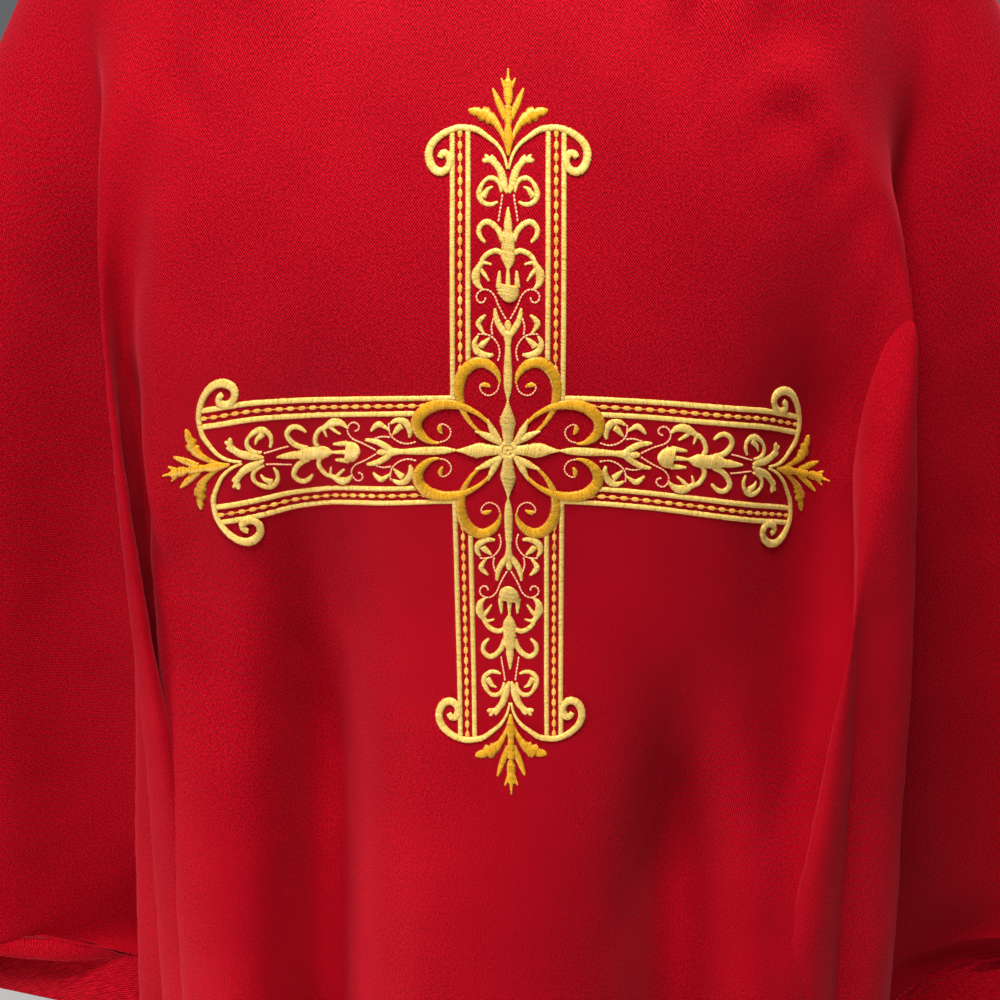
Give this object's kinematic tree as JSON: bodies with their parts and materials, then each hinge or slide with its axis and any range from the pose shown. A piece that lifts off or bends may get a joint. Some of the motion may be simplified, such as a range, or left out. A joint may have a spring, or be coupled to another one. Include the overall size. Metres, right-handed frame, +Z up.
{
  "type": "chasuble",
  "caption": "Gothic chasuble: a wide red twill vestment hanging from the shoulders in vertical folds, with a large gold embroidered cross on the front.",
  "frame": {"origin": "centre of the neck opening, level with the tops of the shoulder seams", "axes": "+Z up, the embroidered front faces -Y, the wearer's left is +X"},
  "size_m": [0.94, 0.4018, 1.1868],
  "materials": {
    "red_twill": "fine twill, low sheen",
    "red_facing": "plain woven facing, matt",
    "red_binding": "rolled twill binding",
    "seam_tape": "woven tape, matt",
    "backing": "non-woven cut-away backing",
    "light_gold_thread": "satin stitch, glossy",
    "dark_gold_thread": "satin stitch, glossy",
    "orange_gold_thread": "bead stitch, glossy",
    "cream_thread": "running stitch"
  },
  "bodies": {
    "root": {"front_panel": "red_twill", "back_panel": "red_twill", "front_neck_facing": "red_facing", "back_neck_facing": "red_facing", "front_hem_facing": "red_facing", "back_hem_facing": "red_facing", "neck_binding": "red_binding", "left_shoulder_tape": "seam_tape", "right_shoulder_tape": "seam_tape", "embroidery_backing": "backing", "hanger_loop": "red_binding", "centre_loops": "dark_gold_thread", "centre_star": "light_gold_thread", "top_borders": "light_gold_thread", "top_beads": "orange_gold_thread", "top_volutes": "light_gold_thread", "top_finial": "dark_gold_thread", "top_leaves": "light_gold_thread", "top_tendrils": "cream_thread", "right_borders": "light_gold_thread", "right_beads": "orange_gold_thread", "right_volutes": "light_gold_thread", "right_finial": "dark_gold_thread", "right_leaves": "light_gold_thread", "right_tendrils": "cream_thread", "bottom_borders": "light_gold_thread", "bottom_beads": "orange_gold_thread", "bottom_volutes": "light_gold_thread", "bottom_finial": "dark_gold_thread", "bottom_leaves": "light_gold_thread", "bottom_tendrils": "cream_thread", "left_borders": "light_gold_thread", "left_beads": "orange_gold_thread", "left_volutes": "light_gold_thread", "left_finial": "dark_gold_thread", "left_leaves": "light_gold_thread", "left_tendrils": "cream_thread"}
  },
  "joints": []
}
